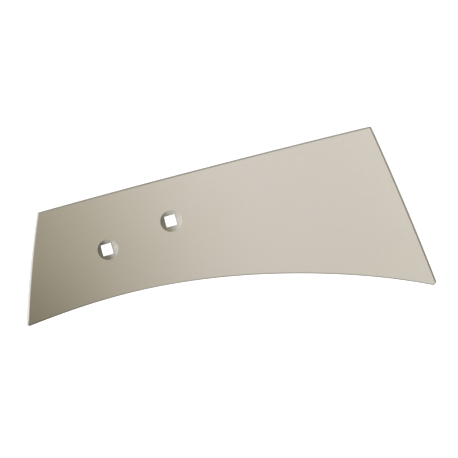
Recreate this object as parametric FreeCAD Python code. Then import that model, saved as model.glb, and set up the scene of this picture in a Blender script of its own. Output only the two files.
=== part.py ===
"""Plough shin: the replaceable front strip of a mouldboard.

One piece of hardened steel plate. A flat blank with four edges and two square,
countersunk bolt holes is pressed into part of a cylinder, so every line across
the plate parallel to the wide end stays straight and every edge wall stays
square to the curved face. It lies on its convex back with the working face up,
as it comes to rest on a floor.

Units are millimetres. In the part's own frame +X runs along the plate towards
the wide end, +Y towards the straight rear edge, +Z up. The origin is the centre
of the plate's footprint, on the floor.

The outline is given on the flat blank, measured on the working face: u along
the plate, towards the wide end, and v towards the rear edge, both from a point
between the two bolt holes.
"""

import FreeCAD, Part  # noqa: E401

import math
import os

V = FreeCAD.Vector

# ---- plate -------------------------------------------------------------
THICKNESS = 8.0
FACE_RADIUS = 510.0          # concave working face
BACK_RADIUS = FACE_RADIUS + THICKNESS

# ---- rear edge: straight, cut square, butts against the mouldboard -------
REAR_AT_HOLES = 56.6         # v of the edge where u is 0
REAR_SLOPE = 8.4             # degrees, towards the holes' line at the wide end
REAR_MID_U = 98.0            # where the edge's plane is square to the plate

# ---- wide end: almost straight, along the cylinder's straight lines ------
WIDE_END_U = 296.0           # furthest point
WIDE_END_BOW_R = 3570.0
WIDE_END_BOW_V = -146.0      # v of the furthest point

# ---- narrow end: slightly bowed ------------------------------------------
NARROW_CENTRE = (1100.32, -684.87)
NARROW_R = 1414.2

# ---- leading edge: the long concave cutting edge, points on the blank -----
LEADING = [
    (-156.0, -40.8), (-110.0, -45.1), (-60.0, -51.9), (-10.0, -61.7), (40.0, -74.7),
    (90.0, -90.7), (140.0, -109.3), (190.0, -130.3), (240.0, -153.8), (292.0, -181.9),
]

# ---- corners in plan, the bevels of the long edges, the broken arrises ------
CORNER_R_LEAD_WIDE = 3.0
CORNER_R_REAR_WIDE = 2.4
CORNER_R_REAR_NARROW = 1.6
CORNER_R_LEAD_NARROW = 2.0
BEVEL = 1.6                  # both long edges, at 45 degrees, on the working face
FACE_ARRIS_R = 0.45
BACK_ARRIS_R = 0.7

# ---- bolt holes: square neck, flat countersunk head ------------------------
# each: u, v, and the countersink's diameter at the working face, for a 24 mm head;
# the one near the narrow end is cut a little less deep
HOLES = ((-40.0, 0.0, 23.4), (39.8, 0.7, 24.9))
SQUARE = 13.0                # across the flats, takes a 12 mm square neck
SQUARE_CORNER_R = 0.8
SINK_ANGLE = 100.0
SQUARE_TURN = -REAR_SLOPE    # the squares stand parallel to the rear edge


def frame_at(u):
    """Unit vectors on the bent plate at blank coordinate u: along, across, up."""
    a = u / FACE_RADIUS
    along = V(math.cos(a), 0, math.sin(a))
    up = V(-math.sin(a), 0, math.cos(a))
    return along, V(0, 1, 0), up


def bent(u, v, depth=0.0):
    """Point of the bent plate. depth is measured from the working face into the steel."""
    a = u / FACE_RADIUS
    r = FACE_RADIUS + depth
    return V(r * math.sin(a), v, -r * math.cos(a))


def wall(points, reach=25.0):
    """Ruled surface square to the plate through a line of blank points."""
    params = [0.0]
    for (u0, v0), (u1, v1) in zip(points, points[1:]):
        params.append(params[-1] + math.hypot(u1 - u0, v1 - v0))
    params = [p / params[-1] for p in params]
    edges = []
    for depth in (-reach, THICKNESS + reach):
        curve = Part.BSplineCurve()
        curve.interpolate(Points=[bent(u, v, depth) for u, v in points], Parameters=params)
        edges.append(curve.toShape())
    return Part.makeRuledSurface(edges[0], edges[1])


def bevel_cutter(points):
    """Everything above the bevel of a long edge. points: the edge on the blank, with the
    plate on its right."""
    edges = []
    for depth in (-10.0, THICKNESS + 4.0):
        curve = Part.BSplineCurve()
        on = []
        for i, (u, v) in enumerate(points):
            (ua, va), (ub, vb) = points[max(i - 1, 0)], points[min(i + 1, len(points) - 1)]
            k = (BEVEL - depth) / math.hypot(ub - ua, vb - va)
            on.append(bent(u + (vb - va) * k, v - (ub - ua) * k, depth))
        curve.interpolate(on)
        edges.append(curve.toShape())
    return Part.makeRuledSurface(edges[0], edges[1]).extrude(V(0, 0, 60.0))


def arc_points(cx, cy, r, a0, a1, n=13):
    """Blank points on a circle, angles in degrees."""
    out = []
    for i in range(n):
        a = math.radians(a0 + (a1 - a0) * i / (n - 1))
        out.append((cx + r * math.cos(a), cy + r * math.sin(a)))
    return out


def leading_points():
    """The leading edge as a smooth curve, run on past both corners."""
    curve = Part.BSplineCurve()
    curve.interpolate([V(u, v, 0) for u, v in LEADING])
    n = 36
    pts = []
    for i in range(n + 1):
        p = curve.value(curve.FirstParameter + (curve.LastParameter - curve.FirstParameter) * i / n)
        pts.append((p.x, p.y))
    (ua, va), (ub, vb) = pts[0], pts[1]
    k = 30.0 / math.hypot(ub - ua, vb - va)
    first = (ua - (ub - ua) * k, va - (vb - va) * k)
    (ua, va), (ub, vb) = pts[-2], pts[-1]
    k = 30.0 / math.hypot(ub - ua, vb - va)
    last = (ub + (ub - ua) * k, vb + (vb - va) * k)
    return [first] + pts + [last]


def rear_points():
    """The rear edge's line on the working face, run on past both corners."""
    s = math.tan(math.radians(REAR_SLOPE))
    v_mid = REAR_AT_HOLES - REAR_MID_U * s
    return [(u, v_mid - s * FACE_RADIUS * math.sin((u - REAR_MID_U) / FACE_RADIUS)) for u in range(-130, 331, 20)]


def bent_sheet():
    """The pressed plate before its outline is cut: a thick strip of cylinder."""
    a0, a1 = -200.0 / FACE_RADIUS, 330.0 / FACE_RADIUS
    y0, y1 = -230.0, 130.0

    def on(r, a):
        return V(r * math.sin(a), y0, -r * math.cos(a))

    mid = (a0 + a1) / 2
    face = Part.Arc(on(FACE_RADIUS, a0), on(FACE_RADIUS, mid), on(FACE_RADIUS, a1)).toShape()
    back = Part.Arc(on(BACK_RADIUS, a1), on(BACK_RADIUS, mid), on(BACK_RADIUS, a0)).toShape()
    end1 = Part.LineSegment(on(FACE_RADIUS, a1), on(BACK_RADIUS, a1)).toShape()
    end0 = Part.LineSegment(on(BACK_RADIUS, a0), on(FACE_RADIUS, a0)).toShape()
    section = Part.Face(Part.Wire([face, end1, back, end0]))
    return section.extrude(V(0, y1 - y0, 0))


def rear_cutter():
    """Everything beyond the flat rear edge face."""
    along, across, up = frame_at(REAR_MID_U)
    s = math.radians(REAR_SLOPE)
    v_mid = REAR_AT_HOLES - REAR_MID_U * math.tan(s)
    chord = along * math.cos(s) - across * math.sin(s)
    out = along * math.sin(s) + across * math.cos(s)
    p = bent(REAR_MID_U, v_mid)
    box = Part.makeBox(700, 200, 400, V(-350, 0, -200))
    m = FreeCAD.Matrix(
        chord.x, out.x, up.x, p.x,
        chord.y, out.y, up.y, p.y,
        chord.z, out.z, up.z, p.z,
        0, 0, 0, 1,
    )
    return box.transformed(m)


def square_hole(u, v, sink_dia):
    """One bolt hole: square through the plate with a conical countersink in the working face."""
    along, across, up = frame_at(u)
    h = SQUARE / 2
    square = Part.makeBox(SQUARE, SQUARE, THICKNESS + 20, V(-h, -h, -THICKNESS - 10))
    edges = [e for e in square.Edges if abs(e.tangentAt(e.FirstParameter).z) > 0.9]
    square = square.makeFillet(SQUARE_CORNER_R, edges)
    square.rotate(V(0, 0, 0), V(0, 0, 1), SQUARE_TURN)
    proud, deep = 1.5, 8.0
    k = math.tan(math.radians(SINK_ANGLE / 2))
    cone = Part.makeCone(sink_dia / 2 - deep * k, sink_dia / 2 + proud * k, deep + proud, V(0, 0, -deep))
    tool = square.fuse(cone)
    p = bent(u, v)
    m = FreeCAD.Matrix(
        along.x, across.x, up.x, p.x,
        along.y, across.y, up.y, p.y,
        along.z, across.z, up.z, p.z,
        0, 0, 0, 1,
    )
    return tool.transformed(m)


def near(edge, u, v, tol=8.0):
    """Whether an edge is the corner line of the plate at blank point (u, v)."""
    if len(edge.Vertexes) != 2:
        return False
    want = bent(u, v, THICKNESS / 2)
    a, b = edge.Vertexes[0].Point, edge.Vertexes[1].Point
    mid = (a + b) * 0.5
    return abs(edge.Length - THICKNESS) < 1.0 and (mid - want).Length < tol


def build():
    plate = bent_sheet()

    # rear edge, flat
    plate = plate.cut(rear_cutter())

    # wide end: an almost straight wall, cut away outwards
    span = math.degrees(160.0 / WIDE_END_BOW_R)
    pts = arc_points(WIDE_END_U - WIDE_END_BOW_R, WIDE_END_BOW_V, WIDE_END_BOW_R, -span, span * 1.6)
    along, across, up = frame_at(WIDE_END_U)
    plate = plate.cut(wall(pts).extrude(along * 90.0))

    # narrow end
    mid_angle = math.degrees(math.atan2(17.2 - NARROW_CENTRE[1], -125.1 - NARROW_CENTRE[0]))
    span = math.degrees(105.0 / NARROW_R)
    pts = arc_points(NARROW_CENTRE[0], NARROW_CENTRE[1], NARROW_R, mid_angle - span, mid_angle + span)
    along, across, up = frame_at(-125.0)
    a = math.radians(mid_angle)
    plate = plate.cut(wall(pts).extrude((along * math.cos(a) + across * math.sin(a)) * 150.0))

    # leading edge
    plate = plate.cut(wall(leading_points()).extrude(V(0, -200.0, 0)))

    plate = max(plate.Solids, key=lambda s: s.Volume)

    # centre of mass, taken while every face is plain
    plain = plate
    for hole in HOLES:
        plain = max(plain.cut(square_hole(*hole)).Solids, key=lambda s: s.Volume)
    c = plain.CenterOfMass

    # corners in plan
    corners = [
        (296.0, -184.0, CORNER_R_LEAD_WIDE),
        (293.0, 13.8, CORNER_R_REAR_WIDE),
        (-95.5, 70.9, CORNER_R_REAR_NARROW),
        (-158.4, -40.6, CORNER_R_LEAD_NARROW),
    ]
    for u, v, r in corners:
        edges = [e for e in plate.Edges if near(e, u, v)]
        if len(edges) != 1:
            raise RuntimeError("corner not found at %.1f, %.1f: %d edges" % (u, v, len(edges)))
        plate = plate.makeFillet(r, edges)

    # broken arrises all round, on the working face and on the back
    for radius, arris in ((FACE_RADIUS, FACE_ARRIS_R), (BACK_RADIUS, BACK_ARRIS_R)):
        rim = []
        for face in plate.Faces:
            if isinstance(face.Surface, Part.Cylinder) and abs(face.Surface.Radius - radius) < 1e-6:
                rim += face.OuterWire.Edges
        plate = plate.makeFillet(arris, rim)

    # the bevels of the long edges
    plate = plate.cut(bevel_cutter(rear_points()))
    plate = plate.cut(bevel_cutter(leading_points()[::-1]))
    plate = max(plate.Solids, key=lambda s: s.Volume)

    # bolt holes
    for hole in HOLES:
        plate = plate.cut(square_hole(*hole))

    plate = max(plate.Solids, key=lambda s: s.Volume)

    # lie on the convex back: the centre of mass comes to stand above the line of contact
    turn = math.degrees(math.atan2(c.x, -c.z))
    plate.rotate(V(0, 0, 0), V(0, 1, 0), turn)
    box = plate.optimalBoundingBox(False, False)
    shift = V(-(box.XMin + box.XMax) / 2, -(box.YMin + box.YMax) / 2, -box.ZMin)
    plate.translate(shift)
    return plate, turn, shift


def main():
    os.makedirs("parts", exist_ok=True)
    plate, turn, shift = build()
    plate.exportStep("parts/shin_plate.step")
    b = plate.optimalBoundingBox(False, False)
    print("valid", plate.isValid(), "volume %.0f mm3" % plate.Volume, "area %.0f" % plate.Area)
    print("box %.2f x %.2f x %.2f" % (b.XLength, b.YLength, b.ZLength))
    print("turned %.4f deg, moved %.3f %.3f %.3f" % (turn, shift.x, shift.y, shift.z))
    c = plate.CenterOfMass
    print("centre of mass %.2f %.2f %.2f" % (c.x, c.y, c.z))
    a = math.radians(turn)
    for name, (u, v, sink_dia) in zip(("hole near the narrow end", "hole near the wide end"), HOLES):
        p = bent(u, v)
        q = V(p.x * math.cos(a) + p.z * math.sin(a), p.y, -p.x * math.sin(a) + p.z * math.cos(a)) + shift
        print(name, "%.3f %.3f %.3f" % (q.x, q.y, q.z))


main()
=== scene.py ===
"""Plough shin, seen from above as it lies on its convex back.

One piece of satin steel plate: a finely meshed plate with its bevelled long edges, its cut
walls, and two square holes with turned countersinks, over the construction model's plate.
Lengths in the geometry part are millimetres on the flat blank, as in the construction
model: u along the plate towards the wide end, v towards the straight rear edge, both from a
point between the two bolt holes, and depth into the steel from the concave working face.
"""

import math

import bpy
import numpy as np
from mathutils import Matrix, Vector
from mathutils.geometry import delaunay_2d_cdt


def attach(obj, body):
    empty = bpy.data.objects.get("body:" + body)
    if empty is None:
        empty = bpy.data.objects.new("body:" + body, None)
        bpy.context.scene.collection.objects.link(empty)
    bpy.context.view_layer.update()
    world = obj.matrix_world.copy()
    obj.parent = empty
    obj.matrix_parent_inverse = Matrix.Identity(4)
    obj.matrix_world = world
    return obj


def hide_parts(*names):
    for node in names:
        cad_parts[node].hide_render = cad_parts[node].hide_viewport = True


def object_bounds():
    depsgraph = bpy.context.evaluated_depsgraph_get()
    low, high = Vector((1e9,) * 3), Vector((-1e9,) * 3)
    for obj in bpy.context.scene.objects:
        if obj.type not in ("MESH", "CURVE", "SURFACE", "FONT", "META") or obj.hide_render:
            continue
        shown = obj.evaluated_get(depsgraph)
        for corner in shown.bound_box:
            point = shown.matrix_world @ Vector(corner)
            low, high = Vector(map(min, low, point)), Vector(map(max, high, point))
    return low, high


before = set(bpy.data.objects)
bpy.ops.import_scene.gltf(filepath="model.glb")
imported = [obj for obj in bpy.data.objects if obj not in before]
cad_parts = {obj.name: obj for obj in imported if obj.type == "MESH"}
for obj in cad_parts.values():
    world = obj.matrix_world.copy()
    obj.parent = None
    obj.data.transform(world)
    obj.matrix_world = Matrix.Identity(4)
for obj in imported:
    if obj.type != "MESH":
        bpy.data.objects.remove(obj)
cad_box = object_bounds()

# ------------------------------------------------------------------ dimensions, mm

R = 510.0                    # concave working face
THICK = 8.0
TURN = math.radians(11.6984)  # from the cylinder's own axes to the plate at rest
SHIFT = np.array((31.909, 55.846, 518.005))

REAR_AT_HOLES, REAR_SLOPE, REAR_MID_U = 56.6, math.radians(8.4), 98.0
REAR_MID_V = REAR_AT_HOLES - REAR_MID_U * math.tan(REAR_SLOPE)
WIDE_C, WIDE_R = np.array((295.99 - 3570.0, -146.0)), 3570.0
NARROW_C, NARROW_R = np.array((1100.32, -684.87)), 1414.2
LEADING = np.array([
    (-156.0, -40.8), (-110.0, -45.1), (-60.0, -51.9), (-10.0, -61.7), (40.0, -74.7),
    (90.0, -90.7), (140.0, -109.3), (190.0, -130.3), (240.0, -153.8), (292.0, -181.9),
])
R_LEAD_WIDE, R_REAR_WIDE, R_REAR_NARROW, R_LEAD_NARROW = 3.0, 2.4, 1.6, 2.0

HOLES = ((-40.0, 0.0, 11.7), (39.8, 0.7, 12.45))       # and the countersink's radius
SQUARE, SQUARE_R = 13.0, 0.8
SINK_SLOPE = 1 / math.tan(math.radians(100.0 / 2))      # of the countersink's wall

STEP = 0.8                   # along the rim
GRID = 4.0                   # inside the two faces
ARC_POINTS = 9               # between the ends of each corner's arc


# ------------------------------------------------------------------ blank to plate

def frames(u):
    """Unit vectors along, across and up at blank coordinate u, turned as the plate lies."""
    a = np.asarray(u, float) / R
    along = np.stack([np.cos(a), 0 * a, np.sin(a)], -1)
    up = np.stack([-np.sin(a), 0 * a, np.cos(a)], -1)
    return turned(along), np.broadcast_to(np.array((0.0, 1.0, 0.0)), along.shape), turned(up)


def turned(p):
    c, s = math.cos(TURN), math.sin(TURN)
    return np.stack([p[..., 0] * c + p[..., 2] * s, p[..., 1], -p[..., 0] * s + p[..., 2] * c], -1)


def placed(u, v, depth):
    u, v, depth = np.broadcast_arrays(np.asarray(u, float), v, depth)
    r, a = R + depth, u / R
    return turned(np.stack([r * np.sin(a), v, -r * np.cos(a)], -1)) + SHIFT


# ------------------------------------------------------------------ outline of the blank

class Leading:
    """Cubic spline v(u) through the leading edge's points, straight beyond its ends."""

    def __init__(self, pts):
        x, y = pts[:, 0], pts[:, 1]
        n, h = len(x), np.diff(x)
        m, rhs = np.eye(n), np.zeros(n)
        for i in range(1, n - 1):
            m[i, i - 1:i + 2] = h[i - 1], 2 * (h[i - 1] + h[i]), h[i]
            rhs[i] = 6 * ((y[i + 1] - y[i]) / h[i] - (y[i] - y[i - 1]) / h[i - 1])
        m[0, :3] = h[1], -(h[0] + h[1]), h[0]              # third derivative runs on through
        m[-1, -3:] = h[-1], -(h[-1] + h[-2]), h[-2]        # the first and last inner points
        self.x, self.y, self.h, self.c = x, y, h, np.linalg.solve(m, rhs)

    def __call__(self, u):
        u = np.asarray(u, float)
        k = np.clip(np.searchsorted(self.x, u) - 1, 0, len(self.h) - 1)
        t = np.clip(u, self.x[0], self.x[-1])
        a, b, h = self.x[k + 1] - t, t - self.x[k], self.h[k]
        c0, c1, y0, y1 = self.c[k], self.c[k + 1], self.y[k], self.y[k + 1]
        v = (c0 * a ** 3 + c1 * b ** 3) / (6 * h) + (y0 / h - c0 * h / 6) * a + (y1 / h - c1 * h / 6) * b
        d = (-c0 * a ** 2 + c1 * b ** 2) / (2 * h) - (y0 / h - c0 * h / 6) + (y1 / h - c1 * h / 6)
        return v + d * (u - t), d


leading = Leading(LEADING)


def rear(u, depth):
    """The rear edge face is flat, square to the plate at its middle."""
    a = (np.asarray(u, float) - REAR_MID_U) / R
    k = math.tan(REAR_SLOPE) * (R + depth)
    return REAR_MID_V - k * np.sin(a), -k / R * np.cos(a)


def outline(depth):
    """Points and outward normals of the blank's outline at this depth, counter-clockwise,
    with the same number of points on each stretch at every depth."""

    def side_rear(c):
        v, d = rear(c[0], depth)
        n = np.array((-d, 1.0)) / math.hypot(d, 1)
        return (c[1] - v) / math.hypot(d, 1), n

    def side_lead(c):
        v, d = leading(c[0])
        n = np.array((d, -1.0)) / math.hypot(d, 1)
        return (v - c[1]) / math.hypot(d, 1), n

    def side_round(centre, radius):
        def side(c):
            w = c - centre
            return np.hypot(*w) - radius, w / np.hypot(*w)
        return side

    wide, narrow = side_round(WIDE_C, WIDE_R), side_round(NARROW_C, NARROW_R)

    def corner(s1, s2, r, c):
        c = np.array(c, float)
        for _ in range(30):
            (d1, n1), (d2, n2) = s1(c), s2(c)
            c -= np.linalg.solve(np.array([n1, n2]), np.array([d1 + r, d2 + r]))
        return c, s1(c)[1], s2(c)[1]

    rw = corner(wide, side_rear, R_REAR_WIDE, (292, 12))
    rn = corner(side_rear, narrow, R_REAR_NARROW, (-93, 69))
    ln = corner(narrow, side_lead, R_LEAD_NARROW, (-154, -38))
    lw = corner(side_lead, wide, R_LEAD_WIDE, (293, -179))
    points, normals = [], []

    def arc(centre, r, n1, n2, n=ARC_POINTS + 2):
        a1, a2 = math.atan2(n1[1], n1[0]), math.atan2(n2[1], n2[0])
        while a2 < a1:
            a2 += 2 * math.pi
        a = np.linspace(a1, a2, n)[1:-1]
        nn = np.stack([np.cos(a), np.sin(a)], 1)
        points.append(centre + r * nn)
        normals.append(nn)

    def run_u(f, u0, u1, sign):
        n = count[len(runs)] if count else max(2, int(round(abs(u1 - u0) / STEP)))
        runs.append(n)
        u = np.linspace(u0, u1, n + 1)
        v, d = f(u)
        nn = np.stack([-d, np.ones_like(d)], 1) * sign / np.hypot(d, 1)[:, None]
        points.append(np.stack([u, v], 1))
        normals.append(nn)

    def run_arc(centre, radius, n1, n2):
        a1, a2 = math.atan2(n1[1], n1[0]), math.atan2(n2[1], n2[0])
        if a2 - a1 > math.pi:
            a2 -= 2 * math.pi
        if a2 - a1 < -math.pi:
            a2 += 2 * math.pi
        n = count[len(runs)] if count else max(2, int(round(abs(a2 - a1) * radius / STEP)))
        runs.append(n)
        a = np.linspace(a1, a2, n + 1)
        nn = np.stack([np.cos(a), np.sin(a)], 1)
        points.append(centre + radius * nn)
        normals.append(nn)

    runs = []
    count = outline.count
    touch = lambda k, r, which: k[0] + r * k[which]
    run_u(lambda u: rear(u, depth), touch(rw, R_REAR_WIDE, 2)[0], touch(rn, R_REAR_NARROW, 1)[0], 1)
    arc(rn[0], R_REAR_NARROW, rn[1], rn[2])
    p, q = touch(rn, R_REAR_NARROW, 2) - NARROW_C, touch(ln, R_LEAD_NARROW, 1) - NARROW_C
    run_arc(NARROW_C, NARROW_R, p, q)
    arc(ln[0], R_LEAD_NARROW, ln[1], ln[2])
    run_u(leading, touch(ln, R_LEAD_NARROW, 2)[0], touch(lw, R_LEAD_WIDE, 1)[0], -1)
    arc(lw[0], R_LEAD_WIDE, lw[1], lw[2])
    p, q = touch(lw, R_LEAD_WIDE, 2) - WIDE_C, touch(rw, R_REAR_WIDE, 1) - WIDE_C
    run_arc(WIDE_C, WIDE_R, p, q)
    arc(rw[0], R_REAR_WIDE, rw[1], rw[2])
    outline.count = runs
    return np.concatenate(points), np.concatenate(normals)


outline.count = None


# ------------------------------------------------------------------ mesh being built

class Build:
    def __init__(self):
        self.verts, self.blank, self.faces, self.normals, self.mats, self.n = [], [], [], [], [], 0

    def add(self, xyz, u, v, depth):
        xyz = np.asarray(xyz, float)
        k = len(xyz)
        self.verts.append(xyz)
        self.blank.append(np.stack(np.broadcast_arrays(np.asarray(u, float), v, depth), -1).reshape(k, 3))
        ids = np.arange(self.n, self.n + k)
        self.n += k
        return ids

    def strip(self, a, b, na, nb, mat, inward=False):
        """Quads between closed rings a (upper) and b (lower), with a normal for each point."""
        n = len(a)
        j = (np.arange(n) + 1) % n
        i = np.arange(n)
        if inward:
            quads = np.stack([a[i], a[j], b[j], b[i]], 1)
            nn = np.stack([na[i], na[j], nb[j], nb[i]], 1)
        else:
            quads = np.stack([a[i], b[i], b[j], a[j]], 1)
            nn = np.stack([na[i], nb[i], nb[j], na[j]], 1)
        self.faces += [tuple(q) for q in quads.tolist()]
        self.normals.append(nn.reshape(-1, 3))
        self.mats += [mat] * n

    def tris(self, t, normal_of, mat):
        t = np.asarray(t)
        self.faces += [tuple(q) for q in t.tolist()]
        self.normals.append(normal_of[t.reshape(-1)])
        self.mats += [mat] * len(t)


def unit(v):
    return v / np.linalg.norm(v, axis=-1, keepdims=True)


FACE, EDGE, SINK, BEVELLED, PUNCHED = 0, 1, 2, 3, 4
build = Build()

# the rim's section: a bevel at 45 degrees ground along the two long edges, a small broken
# arris at the two ends, and a rounded arris on the back
BEVEL, END_ARRIS = 1.6, 0.45
SOFT = 0.2                   # rounding of a bevel's two lines
BACK_ROUND = 0.7


def bevel_at(points):
    """Width of the bevel at each point of the outline: full along the two long edges, a little
    less where it nears a tight corner, and running out round the corner's arc."""
    radii = (R_REAR_NARROW, R_LEAD_NARROW, R_LEAD_WIDE, R_REAR_WIDE)      # after each run
    width = np.full(len(points), END_ARRIS)
    ease = lambda t: t * t * (3 - 2 * t)
    round_arc = ease(np.arange(1, ARC_POINTS + 1) / (ARC_POINTS + 1))
    start = 0
    for k, n in enumerate(outline.count):
        stop = start + n + 1
        if k % 2 == 0:                            # the rear edge and the leading edge
            first, last = (min(BEVEL, r - 0.3) for r in (radii[k - 1], radii[k]))
            step = np.hypot(*np.diff(points[start:stop], axis=0).T)
            along = np.concatenate([[0.0], np.cumsum(step)])
            t0, t1 = (ease(np.clip(d / 4.0, 0.0, 1.0)) for d in (along, along[-1] - along))
            width[start:stop] = np.minimum(first + (BEVEL - first) * t0, last + (BEVEL - last) * t1)
            before = np.arange(start - ARC_POINTS, start) % len(points)
            width[before] = END_ARRIS + (first - END_ARRIS) * round_arc
            width[stop:stop + ARC_POINTS] = END_ARRIS + (last - END_ARRIS) * round_arc[::-1]
        start = stop + ARC_POINTS
    return width


def rings():
    face_line, face_normal = outline(0.0)
    back_line, back_normal = outline(THICK)
    width = bevel_at(face_line)
    k = math.tan(math.radians(22.5))
    soft = np.minimum(SOFT, 0.45 * width)
    zero = 0 * width
    section = []                                  # inset, depth, turn of the normal in degrees
    for t in np.radians(np.linspace(0, 45, 4)):
        section.append((width + soft * k - soft * math.sin(t), soft * (1 - math.cos(t)), math.degrees(t)))
    for t in np.radians(np.linspace(45, 90, 4)):
        section.append((soft * (1 - math.sin(t)), width + soft * k - soft * math.cos(t), math.degrees(t)))
    lower = THICK - BACK_ROUND
    start = section[-1][1]
    for i in range(1, 5):
        section.append((zero, start + (lower - start) * i / 5, 90.0))
    for t in np.radians(np.linspace(0, 90, 6)):
        section.append((zero + BACK_ROUND * (1 - math.cos(t)), zero + lower + BACK_ROUND * math.sin(t), 90 + math.degrees(t)))
    made = []
    for inset, depth, angle in section:
        w = (depth / THICK)[:, None]
        q = face_line * (1 - w) + back_line * w - inset[:, None] * (face_normal * (1 - w) + back_normal * w)
        made.append((q, placed(q[:, 0], q[:, 1], depth), depth, angle))
    top, low = made[7][1], made[12][1]
    step = np.roll(made[9][1], -1, 0) - np.roll(made[9][1], 1, 0)
    wall = unit(np.cross(unit(low - top), unit(step)))
    ids, normals = [], []
    for q, xyz, depth, angle in made:
        up = frames(q[:, 0])[2]
        a = math.radians(angle)
        ids.append(build.add(xyz, q[:, 0], q[:, 1], depth))
        flat_up = unit(up - wall * (up * wall).sum(1, keepdims=True)) if 0.1 < angle < 179.9 else up
        normals.append(unit(math.cos(a) * flat_up + math.sin(a) * wall))
    for k in range(len(ids) - 1):
        build.strip(ids[k], ids[k + 1], normals[k], normals[k + 1], BEVELLED if k < 7 else EDGE)
    return made[0][0], ids[0], made[-1][0], ids[-1]


def square_loop():
    """The square's outline about its centre: points, outward normals, counter-clockwise."""
    h, r = SQUARE / 2, SQUARE_R
    pts, nrm = [], []
    for k in range(4):
        a0 = k * math.pi / 2
        c, s = math.cos(a0), math.sin(a0)
        side = [(h, y) for y in np.linspace(-(h - r), h - r, 25)]
        for x, y in side:
            pts.append((x * c - y * s, x * s + y * c))
            nrm.append((c, s))
        for t in np.linspace(0, math.pi / 2, 8)[1:-1]:
            x, y = h - r + r * math.cos(t), h - r + r * math.sin(t)
            pts.append((x * c - y * s, x * s + y * c))
            nrm.append((math.cos(a0 + t), math.sin(a0 + t)))
    pts, nrm = np.array(pts), np.array(nrm)
    a = -REAR_SLOPE
    rot = np.array([[math.cos(a), -math.sin(a)], [math.sin(a), math.cos(a)]])
    return pts @ rot.T, nrm @ rot.T


def hole(u0, v0, sink_r):
    along, across, up = (f[0] for f in frames(np.array([u0])))
    origin = placed(u0, v0, 0.0)
    sq, sn = square_loop()
    phi = np.arctan2(sq[:, 1], sq[:, 0])
    rs = np.hypot(sq[:, 0], sq[:, 1])
    ray = np.stack([np.cos(phi), np.sin(phi)], 1)

    def local(x, y, z):
        return origin + x[:, None] * along + y[:, None] * across + z[:, None] * up

    def blank(x, y, z):
        return u0 + R * np.arctan2(x, R - z), v0 + y, np.hypot(x, R - z) - R

    # where the cone meets the working face
    rf = np.full(len(phi), sink_r)
    for _ in range(20):
        x = rf * ray[:, 0]
        rf = sink_r + (R - np.sqrt(R * R - x * x)) / SINK_SLOPE
    rim = 0.18                                   # broken rim of the countersink
    cone = unit(up - SINK_SLOPE * (along * ray[:, :1] + across * ray[:, 1:]))
    face_up = lambda u: frames(u)[2]
    ids, nrm = [], []
    for i in range(4):                           # rim: from the face's normal to the cone's
        t = i / 3
        r = rf + rim * (1 - t)
        if i == 0:
            x, y = r * ray[:, 0], r * ray[:, 1]
            z = R - np.sqrt(R * R - x * x)
        else:
            r = rf + rim * ((1 - t) - t)
            x, y = r * ray[:, 0], r * ray[:, 1]
            zf = R - np.sqrt(R * R - x * x)
            zc = SINK_SLOPE * (r - sink_r)
            z = np.minimum(zf, zc) - 0.035 * math.sin(math.pi * t) * rim / 0.18
            if i == 3:
                z = zc
        u, v, d = blank(x, y, z)
        ids.append(build.add(local(x, y, z), u, v, d))
        nrm.append(unit((1 - t) * face_up(u) + t * cone))
    r_start = rf - rim
    for i in range(1, 9):                        # cone, down to the square
        r = r_start + (rs - r_start) * i / 8
        x, y, z = r * ray[:, 0], r * ray[:, 1], SINK_SLOPE * (r - sink_r)
        u, v, d = blank(x, y, z)
        ids.append(build.add(local(x, y, z), u, v, d))
        nrm.append(cone)
    for k in range(len(ids) - 1):
        build.strip(ids[k], ids[k + 1], nrm[k], nrm[k + 1], SINK, inward=True)
    # square wall, straight down to the back
    wall = unit(-(along * sn[:, :1] + across * sn[:, 1:]))
    x, y = sq[:, 0], sq[:, 1]
    z0 = SINK_SLOPE * (rs - sink_r)
    z1 = R - np.sqrt((R + THICK) ** 2 - x * x)
    prev = ids[-1]
    for i in range(1, 6):
        z = z0 + (z1 - z0) * i / 5
        u, v, d = blank(x, y, z)
        now = build.add(local(x, y, z), u, v, d)
        build.strip(prev, now, wall, wall, PUNCHED, inward=True)
        prev = now
    return ids[0], prev


def inside(p, loop):
    """Whether each point lies inside the closed loop."""
    hit = np.zeros(len(p), bool)
    x, y = p[:, 0], p[:, 1]
    for (x0, y0), (x1, y1) in zip(loop, np.roll(loop, -1, 0)):
        cross = (y0 > y) != (y1 > y)
        if cross.any():
            hit ^= cross & (x < (x1 - x0) * (y - y0) / (y1 - y0 if y1 != y0 else 1.0) + x0)
    return hit


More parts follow.
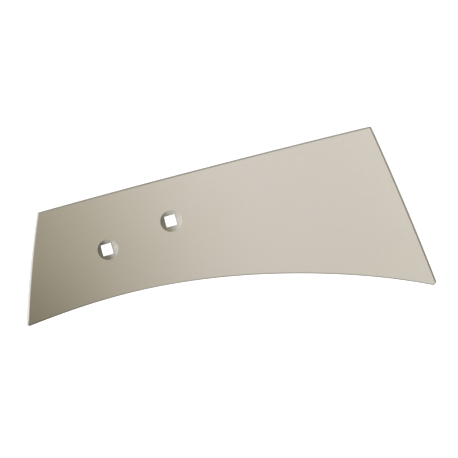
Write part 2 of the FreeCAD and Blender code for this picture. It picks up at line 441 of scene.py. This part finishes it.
def fill(outer, outer_ids, holes, depth, mat, flip):
    """The working face or the back: triangles inside the rim's loop and round the holes."""
    loops = [(outer, outer_ids)] + holes
    inner = []
    u0, v0 = outer.min(0)
    u1, v1 = outer.max(0)
    # rows of points just inside the rim, then a regular net
    nrm = np.roll(outer, -1, 0) - np.roll(outer, 1, 0)
    nrm = unit(np.stack([nrm[:, 1], -nrm[:, 0]], 1))
    rows = []
    for off, every in ((1.2, 2), (3.2, 3)):
        rows.append((outer - off * nrm)[::every])
    uu, vv = np.meshgrid(np.arange(math.ceil(u0 / GRID) * GRID, u1, GRID), np.arange(math.ceil(v0 / GRID) * GRID, v1, GRID))
    shift = (np.arange(uu.shape[0]) % 2)[:, None] * GRID / 2
    net = np.stack([(uu + shift).ravel(), vv.ravel()], 1)

    def depth_inside(p):
        """Distance from the rim, negative outside."""
        a, b = outer, np.roll(outer, -1, 0)
        out = np.empty(len(p))
        for i in range(0, len(p), 500):
            q = p[i:i + 500, None]
            e = b - a
            t = np.clip(((q - a) * e).sum(-1) / (e * e).sum(-1), 0, 1)
            d = np.hypot(*np.moveaxis(q - (a + t[..., None] * e), -1, 0))
            k = d.argmin(1)
            c = e[k]
            w = p[i:i + 500] - a[k]
            out[i:i + 500] = np.where(c[:, 0] * w[:, 1] - c[:, 1] * w[:, 0] > 0, d.min(1), -d.min(1))
        return out

    net = net[depth_inside(net) > 5.0]
    r0 = depth_inside(rows[0])
    r1 = depth_inside(rows[1])
    pts = np.concatenate([rows[0][r0 > 1.1], rows[1][r1 > 3.0], net])
    for hu, hv, sink_r in HOLES:
        pts = pts[np.hypot(pts[:, 0] - hu, pts[:, 1] - hv) > (sink_r + 2.5 if not flip else SQUARE * 0.75 + 1.5)]
        for r, n in ((sink_r + 1.0, 60), (sink_r + 2.2, 44)) if not flip else ((SQUARE * 0.75 + 1.0, 40),):
            a = np.arange(n) * 2 * math.pi / n
            pts = np.concatenate([pts, np.stack([hu + r * np.cos(a), hv + r * np.sin(a)], 1)])
    coords, ids, edges = [], [], []
    for loop, li in loops:
        k = len(coords)
        n = len(loop)
        coords += [Vector(p) for p in loop.tolist()]
        ids += li.tolist()
        edges += [(k + i, k + (i + 1) % n) for i in range(n)]
    new = build.add(placed(pts[:, 0], pts[:, 1], depth), pts[:, 0], pts[:, 1], depth)
    coords += [Vector(p) for p in pts.tolist()]
    ids += new.tolist()
    out, _, tri, orig, _, _ = delaunay_2d_cdt(coords, edges, [], 0, 1e-5, True)
    if len(out) != len(coords):
        raise RuntimeError("the face's points changed: %d to %d" % (len(coords), len(out)))
    tri = np.array([t[:] for t in tri])
    flat = np.array([c[:] for c in out])
    mid = flat[tri].mean(1)
    keep = inside(mid, outer)
    for loop, _ in holes:
        keep &= ~inside(mid, loop)
    tri = tri[keep]
    back = np.array([ids[o[0]] for o in orig])
    tri = back[tri]
    cuv = np.concatenate(build.blank)
    p = cuv[tri][:, :, :2]
    area = np.cross(p[:, 1] - p[:, 0], p[:, 2] - p[:, 0])
    tri = np.where((area < 0)[:, None], tri[:, ::-1], tri)
    if flip:
        tri = tri[:, ::-1]
    up = frames(cuv[:, 0])[2] * (-1 if flip else 1)
    build.tris(tri, up, mat)


top_loop, top_ids, low_loop, low_ids = rings()
hole_ids = [hole(*h) for h in HOLES]
all_blank = np.concatenate(build.blank)
fill(top_loop, top_ids, [(all_blank[a][:, :2], a) for a, b in hole_ids], 0.0, FACE, False)
fill(low_loop, low_ids, [(all_blank[b][:, :2], b) for a, b in hole_ids], THICK, FACE, True)

mesh = bpy.data.meshes.new("shin")
verts = np.concatenate(build.verts) / 1000.0
mesh.from_pydata(verts.tolist(), [], build.faces)
mesh.polygons.foreach_set("use_smooth", [True] * len(mesh.polygons))
mesh.polygons.foreach_set("material_index", build.mats)
blank = mesh.attributes.new("blank", "FLOAT_VECTOR", "POINT")
blank.data.foreach_set("vector", (np.concatenate(build.blank) / 1000.0).astype(np.float32).ravel())
mesh.update()
mesh.normals_split_custom_set(np.concatenate(build.normals).tolist())
plate = bpy.data.objects.new("shin_plate_finish", mesh)
bpy.context.scene.collection.objects.link(plate)
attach(plate, "root")
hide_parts("shin_plate")


# ------------------------------------------------------------------ materials

class Nodes:
    """A material's node tree, with short ways to add and join nodes."""

    def __init__(self, name):
        self.material = bpy.data.materials.new(name)
        self.material.use_nodes = True
        self.tree = self.material.node_tree
        self.shader = self.tree.nodes["Principled BSDF"]
        at = self.node("ShaderNodeAttribute")
        at.attribute_name = "blank"
        self.blank = at.outputs["Vector"]

    def node(self, kind, **values):
        n = self.tree.nodes.new(kind)
        for k, v in values.items():
            setattr(n, k, v)
        return n

    def put(self, socket, value):
        if isinstance(value, bpy.types.NodeSocket):
            self.tree.links.new(value, socket)
        else:
            socket.default_value = value

    def math(self, op, a, b=0.0, c=None):
        n = self.node("ShaderNodeMath", operation=op)
        self.put(n.inputs[0], a)
        self.put(n.inputs[1], b)
        if c is not None:
            self.put(n.inputs[2], c)
        return n.outputs[0]

    def scaled(self, scale, vector=None):
        n = self.node("ShaderNodeVectorMath", operation="MULTIPLY")
        self.put(n.inputs[0], vector or self.blank)
        n.inputs[1].default_value = scale
        return n.outputs[0]

    def noise(self, scale, detail=2.0, rough=0.5, vector=None, distortion=0.0):
        """Noise over the blank with features of about 1 m / scale, between 0 and 1."""
        n = self.node("ShaderNodeTexNoise")
        n.inputs["Scale"].default_value = 1.0
        n.inputs["Detail"].default_value = detail
        n.inputs["Roughness"].default_value = rough
        n.inputs["Distortion"].default_value = distortion
        self.put(n.inputs["Vector"], self.scaled(scale, vector))
        return n.outputs[0]

    def ramp(self, fac, stops):
        n = self.node("ShaderNodeValToRGB")
        e = n.color_ramp.elements
        while len(e) < len(stops):
            e.new(0.5)
        for k, (at, colour) in zip(e, stops):
            k.position, k.color = at, colour
        self.put(n.inputs[0], fac)
        return n.outputs[0]

    def between(self, fac, low, high, out_low, out_high):
        n = self.node("ShaderNodeMapRange")
        for k, v in (("Value", fac), ("From Min", low), ("From Max", high), ("To Min", out_low), ("To Max", out_high)):
            self.put(n.inputs[k], v)
        return n.outputs[0]

    def tint(self, colour, by):
        """A colour times a factor."""
        n = self.node("ShaderNodeVectorMath", operation="SCALE")
        self.put(n.inputs[0], colour)
        self.put(n.inputs["Scale"], by)
        return n.outputs[0]

    def mix(self, fac, a, b):
        n = self.node("ShaderNodeMix", data_type="RGBA")
        self.put(n.inputs[0], fac)
        self.put(n.inputs[6], a)
        self.put(n.inputs[7], b)
        return n.outputs[2]

    def bump(self, height, distance, strength=1.0, normal=None):
        n = self.node("ShaderNodeBump")
        self.put(n.inputs["Height"], height)
        n.inputs["Distance"].default_value = distance
        n.inputs["Strength"].default_value = strength
        if normal is not None:
            self.put(n.inputs["Normal"], normal)
        return n.outputs[0]

    def set(self, **values):
        for k, v in values.items():
            self.put(self.shader.inputs[k.replace("_", " ")], v)
        return self.material


def satin_steel():
    """The two big faces: ground along the plate, then lacquered clear."""
    m = Nodes("satin_steel")
    grain = m.noise((55.0, 3600.0, 100.0), 2.0, 0.6)            # belt lines, 0.3 mm apart
    streak = m.noise((9.0, 420.0, 50.0), 3.0, 0.55)             # bands of them, 2 to 4 mm
    cloud = m.noise((16.0, 24.0, 20.0), 3.0, 0.5)               # lacquer, 50 mm
    fleck = m.noise((260.0, 260.0, 260.0), 2.0, 0.6)            # mottling of the scale under it, 4 mm
    film = m.noise((420.0, 420.0, 420.0), 1.0, 0.5)             # its skin, 2.5 mm
    tone = m.math("ADD", m.between(streak, 0.3, 0.7, -0.012, 0.012), m.between(cloud, 0.3, 0.7, -0.008, 0.008))
    tone = m.math("ADD", tone, m.between(fleck, 0.3, 0.7, -0.010, 0.010))
    tone = m.math("ADD", tone, m.between(grain, 0.3, 0.7, 0.98, 1.02))
    split = m.node("ShaderNodeSeparateXYZ")                     # painted shade and light: darker towards the leading edge's narrow end, a little lighter at its rear corner
    m.put(split.inputs[0], m.blank)
    # painted shade at the narrow end's leading corner, painted light at its rear corner
    narrow_end_painted_shade = m.math("MULTIPLY", m.between(split.outputs["X"], -0.16, -0.05, 1.0, 0.0), m.between(split.outputs["Y"], -0.045, 0.02, -0.11, 0.045))
    tone = m.math("ADD", tone, narrow_end_painted_shade)
    warm = m.mix(m.between(cloud, 0.3, 0.7, 0.0, 1.0), (0.622, 0.592, 0.534, 1), (0.620, 0.588, 0.520, 1))
    rough = m.math("ADD", m.between(streak, 0.3, 0.7, 0.385, 0.415), m.between(cloud, 0.3, 0.7, -0.012, 0.012))
    n = m.bump(film, 0.00002, 0.6)
    n = m.bump(grain, 0.000004, 0.7, n)
    return m.set(Base_Color=m.tint(warm, tone), Metallic=1.0, Roughness=rough, Normal=n)


def ground_bevel():
    """The bevels and the broken arrises: ground lengthwise and bare, with painted shade darkening
    the leading edge's bevel towards its narrow end."""
    m = Nodes("ground_bevel")
    split = m.node("ShaderNodeSeparateXYZ")
    m.put(split.inputs[0], m.blank)
    # painted shade: the leading edge's bevel darker towards the narrow end
    bevel_painted_shade = m.math("MULTIPLY", m.between(split.outputs["X"], -0.145, 0.0, 0.6, 0.0), m.between(split.outputs["Y"], -0.037, -0.034, 1.0, 0.0))
    line = m.noise((300.0, 300.0, 3000.0), 2.0, 0.6)
    patch = m.noise((70.0, 70.0, 70.0), 3.0, 0.5)
    colour = m.mix(m.between(patch, 0.3, 0.7, 0.0, 1.0), (0.59, 0.58, 0.55, 1), (0.63, 0.615, 0.575, 1))
    tone = m.math("SUBTRACT", m.between(line, 0.3, 0.7, 0.96, 1.04), bevel_painted_shade)
    n = m.bump(line, 0.00001, 0.6)
    return m.set(Base_Color=m.tint(colour, tone), Metallic=1.0, Roughness=m.between(patch, 0.3, 0.7, 0.48, 0.54), Normal=n)


def cut_edge():
    """The cut walls: striations square to the plate."""
    m = Nodes("cut_edge")
    line = m.noise((900.0, 900.0, 45.0), 2.0, 0.6, distortion=0.3)
    patch = m.noise((60.0, 60.0, 200.0), 3.0, 0.5)
    fine = m.noise((2600.0, 2600.0, 900.0), 2.0, 0.5)
    colour = m.mix(m.between(patch, 0.3, 0.7, 0.0, 1.0), (0.87, 0.87, 0.865, 1), (0.93, 0.925, 0.91, 1))
    tone = m.math("ADD", m.between(line, 0.3, 0.7, 0.95, 1.05), m.between(fine, 0.3, 0.7, -0.03, 0.03))
    split = m.node("ShaderNodeSeparateXYZ")                     # darker towards the wide end's tip
    m.put(split.inputs[0], m.blank)
    tip = m.math("MULTIPLY", m.between(split.outputs["X"], 0.1, 0.2, 0.0, 1.0), m.between(split.outputs["Y"], -0.18, -0.06, -0.2, 0.0))
    tone = m.math("ADD", tone, tip)
    n = m.bump(line, 0.00005, 0.6)
    return m.set(Base_Color=m.tint(colour, tone), Metallic=1.0, Roughness=m.between(patch, 0.3, 0.7, 0.54, 0.62), Normal=n)


def punched_square():
    """The squares' walls: burnished by the punch at the top, torn and dull below."""
    m = Nodes("punched_square")
    split = m.node("ShaderNodeSeparateXYZ")
    m.put(split.inputs[0], m.blank)
    wave = m.noise((500.0, 500.0, 60.0), 2.0, 0.5)
    down = m.math("ADD", split.outputs["Z"], m.between(wave, 0.3, 0.7, -0.0005, 0.0005))
    torn = m.between(down, 0.0054, 0.0062, 0.0, 1.0)
    line = m.noise((1500.0, 1500.0, 60.0), 2.0, 0.6)
    colour = m.mix(torn, (0.46, 0.455, 0.44, 1), (0.34, 0.335, 0.325, 1))
    n = m.bump(line, 0.00004, 0.6)
    return m.set(Base_Color=m.tint(colour, m.between(line, 0.3, 0.7, 0.93, 1.07)), Metallic=1.0,
                 Roughness=m.between(torn, 0.0, 1.0, 0.36, 0.6), Normal=n)


def turned_sink():
    """The countersinks: fine rings from the tool."""
    m = Nodes("turned_sink")
    ring = m.noise((6.0, 6.0, 5200.0), 2.0, 0.6)
    patch = m.noise((220.0, 220.0, 220.0), 2.0, 0.5)
    tone = m.math("ADD", m.between(ring, 0.3, 0.7, 0.96, 1.04), m.between(patch, 0.3, 0.7, -0.02, 0.02))
    split = m.node("ShaderNodeSeparateXYZ")                     # the narrow end's countersink is smoother, with painted shade darkening it and painted light brightening the wide end's
    m.put(split.inputs[0], m.blank)
    tone = m.math("ADD", tone, m.between(split.outputs["X"], -0.02, 0.02, -0.15, 0.13))
    rough = m.math("ADD", m.between(patch, 0.3, 0.7, 0.45, 0.50), m.between(split.outputs["X"], -0.02, 0.02, -0.15, 0.0))
    n = m.bump(ring, 0.000012, 0.6)
    return m.set(Base_Color=m.tint((0.60, 0.59, 0.56), tone), Metallic=1.0, Roughness=rough, Normal=n)


for made in (satin_steel(), cut_edge(), turned_sink(), ground_bevel(), punched_square()):
    mesh.materials.append(made)


# ------------------------------------------------------------------ studio

floor_mesh = bpy.data.meshes.new("floor")
floor_mesh.from_pydata([(-12, -12, 0), (12, -12, 0), (12, 12, 0), (-12, 12, 0)], [], [(0, 1, 2, 3)])
floor = bpy.data.objects.new("floor", floor_mesh)
bpy.context.scene.collection.objects.link(floor)
floor.location.z = cad_box[0][2] - 0.0002
paper = Nodes("floor_white")
# paper that shows white, and throws light back more on the plate's left, where the lamps stand
glow = paper.node("ShaderNodeLightPath")
seen = glow.outputs["Is Camera Ray"]
place = paper.node("ShaderNodeNewGeometry")
side = paper.node("ShaderNodeSeparateXYZ")
paper.put(side.inputs[0], place.outputs["Position"])
lit = paper.between(side.outputs["X"], -0.22, -0.05, 0.56, 0.087)
paper.set(Base_Color=paper.mix(seen, (0.35, 0.35, 0.35, 1), (0.85, 0.85, 0.85, 1)), Roughness=0.9,
          Emission_Color=(1, 1, 1, 1),
          Emission_Strength=paper.math("ADD", paper.math("MULTIPLY", seen, 0.85), paper.math("MULTIPLY", paper.math("SUBTRACT", 1.0, seen), lit)))
floor_mesh.materials.append(paper.material)

# the camera stands 1.2 m above the plate, leaning a little
RIGHT = Vector((0.921286, -0.386848, 0.039750))
UP = Vector((0.388877, 0.915797, -0.100448))
BACK = Vector((0.002455, 0.107999, 0.994148))
cam = bpy.data.cameras.new("camera")
cam.sensor_width = 36.0
cam.lens = 82.02
cam.clip_start, cam.clip_end = 0.05, 30.0
camera = bpy.data.objects.new("camera", cam)
bpy.context.scene.collection.objects.link(camera)
camera.matrix_world = Matrix((
    (RIGHT.x, UP.x, BACK.x, 0.028625),
    (RIGHT.y, UP.y, BACK.y, 0.152435),
    (RIGHT.z, UP.z, BACK.z, 1.212991),
    (0, 0, 0, 1),
))
bpy.context.scene.camera = camera

# soft light from big white screens overhead and on the plate's left, and none from its right.
# Each screen: how far it leans from overhead, its bearing anticlockwise from the plate's
# length to the wide end, both in degrees, and its colour
SCREENS = (
    (0, 0, (1.184, 1.143, 1.214)),
    (30, 0, (0.666, 0.640, 0.476)),
    (88, 0, (0.134, 0.125, 0.000)),
    (30, 180, (0.782, 0.790, 0.808)),
    (60, 180, (1.232, 1.132, 1.054)),
    (88, 180, (0.690, 0.668, 0.645)),
    (45, 90, (1.006, 0.991, 0.909)),
    (85, 90, (0.640, 0.618, 0.653)),
    (45, 270, (0.991, 0.955, 0.884)),
    (85, 270, (0.939, 0.937, 0.797)),
    (65, 45, (0.344, 0.329, 0.193)),
    (65, 135, (1.473, 1.422, 1.275)),
    (65, 225, (1.243, 1.249, 1.158)),
    (65, 315, (0.036, 0.000, 0.000)),
)
SPREAD = 14.0
LENGTH = RIGHT * math.cos(math.radians(22.9)) + UP * math.sin(math.radians(22.9))
WIDTH = -RIGHT * math.sin(math.radians(22.9)) + UP * math.cos(math.radians(22.9))

world = bpy.data.worlds.new("studio")
world.use_nodes = True
tree = world.node_tree
sky = tree.nodes["Background"]
coords = tree.nodes.new("ShaderNodeTexCoord")
total = None
for tilt, bearing, colour in SCREENS:
    t, b = math.radians(tilt), math.radians(bearing)
    to = BACK * math.cos(t) + (LENGTH * math.cos(b) + WIDTH * math.sin(b)) * math.sin(t)
    dot = tree.nodes.new("ShaderNodeVectorMath")
    dot.operation = "DOT_PRODUCT"
    tree.links.new(coords.outputs["Generated"], dot.inputs[0])
    dot.inputs[1].default_value = to.normalized()
    power = tree.nodes.new("ShaderNodeMath")
    power.operation = "MULTIPLY_ADD"
    tree.links.new(dot.outputs["Value"], power.inputs[0])
    power.inputs[1].default_value = SPREAD
    power.inputs[2].default_value = -SPREAD
    fall = tree.nodes.new("ShaderNodeMath")
    fall.operation = "EXPONENT"
    tree.links.new(power.outputs[0], fall.inputs[0])
    light = tree.nodes.new("ShaderNodeVectorMath")
    light.operation = "SCALE"
    light.inputs[0].default_value = colour
    tree.links.new(fall.outputs[0], light.inputs["Scale"])
    if total is None:
        total = light.outputs[0]
    else:
        plus = tree.nodes.new("ShaderNodeVectorMath")
        plus.operation = "ADD"
        tree.links.new(total, plus.inputs[0])
        tree.links.new(light.outputs[0], plus.inputs[1])
        total = plus.outputs[0]
seen = tree.nodes.new("ShaderNodeLightPath")
backdrop = tree.nodes.new("ShaderNodeMix")
backdrop.data_type = "RGBA"
tree.links.new(seen.outputs["Is Camera Ray"], backdrop.inputs[0])
tree.links.new(total, backdrop.inputs[6])
backdrop.inputs[7].default_value = (1.0, 1.0, 1.0, 1.0)
tree.links.new(backdrop.outputs[2], sky.inputs["Color"])
sky.inputs["Strength"].default_value = 1.0
bpy.context.scene.world = world
bpy.context.scene.view_settings.view_transform = "Standard"
